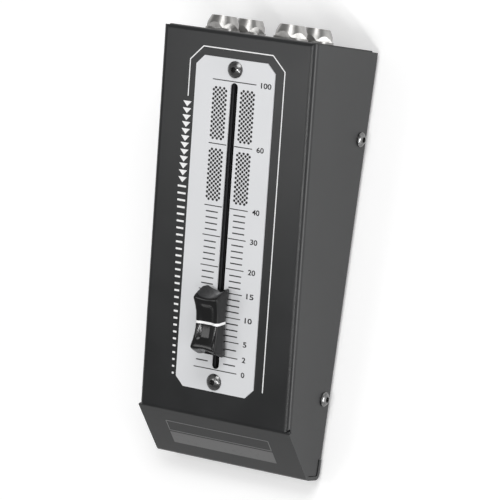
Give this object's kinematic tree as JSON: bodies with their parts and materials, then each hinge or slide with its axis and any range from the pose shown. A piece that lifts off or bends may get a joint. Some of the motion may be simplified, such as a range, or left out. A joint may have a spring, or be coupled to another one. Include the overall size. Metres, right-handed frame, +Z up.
{
  "type": "desktop volume control",
  "caption": "Sloping black sheet-metal box with a long slide fader, printed scale plate and lever knob, and plug jacks in the rear wall.",
  "frame": {"origin": "on the desk, under the middle of the whole part, level with the underside of the rubber feet", "axes": "+Z up, +Y towards the rear wall and its jacks, +X to the right of a user who faces the nose"},
  "size_m": [0.071, 0.1712, 0.0494],
  "materials": {
    "case_paint": "fine satin black powder coat",
    "plate_aluminium": "fine brushed, printed in dark grey",
    "side_screw_steel": "blackened",
    "panel_screw_steel": "zinc plated",
    "rubber_black": "matt",
    "fader_steel": "plated",
    "white_nylon": "satin",
    "black_plastic": "satin",
    "board_phenolic": "pressed paper board",
    "carbon_ink": "matt ink",
    "silver_ink": "matt ink",
    "tinned_metal": "tinned",
    "contact_brass": "sprung sheet",
    "jack_chrome": "bright plated",
    "knob_plastic": "moulded, glossy",
    "pointer_paint": "filled line",
    "wire_white": "insulation",
    "wire_red": "insulation",
    "wire_green": "insulation"
  },
  "bodies": {
    "case": {"top_cover": "case_paint", "base_plate": "case_paint", "side_screws": "side_screw_steel", "rubber_feet": "rubber_black", "scale_plate": "plate_aluminium", "panel_screws": "panel_screw_steel", "fader_frame": "fader_steel", "front_end_block": "white_nylon", "rear_end_block": "white_nylon", "travel_buffers": "rubber_black", "guide_rods": "fader_steel", "track_board": "board_phenolic", "resistive_tracks": "carbon_ink", "collector_tracks": "silver_ink", "terminal_pins": "tinned_metal", "dust_lips": "black_plastic", "jack_body_upper_left": "black_plastic", "jack_body_upper_right": "black_plastic", "jack_body_lower_left": "black_plastic", "jack_body_lower_right": "black_plastic", "jack_bushing_upper_left": "jack_chrome", "jack_bushing_upper_right": "jack_chrome", "jack_bushing_lower_left": "jack_chrome", "jack_bushing_lower_right": "jack_chrome", "jack_caps": "black_plastic", "jack_washers": "jack_chrome", "jack_nuts": "jack_chrome", "jack_tip_contacts": "contact_brass", "jack_sleeve_contacts": "contact_brass", "input_wire_left": "wire_white", "input_wire_right": "wire_red", "output_wire_left": "wire_white", "output_wire_right": "wire_red", "ground_wire": "wire_green", "ground_bus": "tinned_metal"},
    "slider": {"knob": "knob_plastic", "knob_pointer": "pointer_paint", "lever": "fader_steel", "carriage": "white_nylon", "left_wiper": "contact_brass", "right_wiper": "contact_brass"}
  },
  "joints": [
    {"name": "fader_slide", "type": "slide", "parent": "case", "child": "slider", "axis": [0, 0.9914, 0.1305], "range_m": [-0.014, 0.086]}
  ]
}
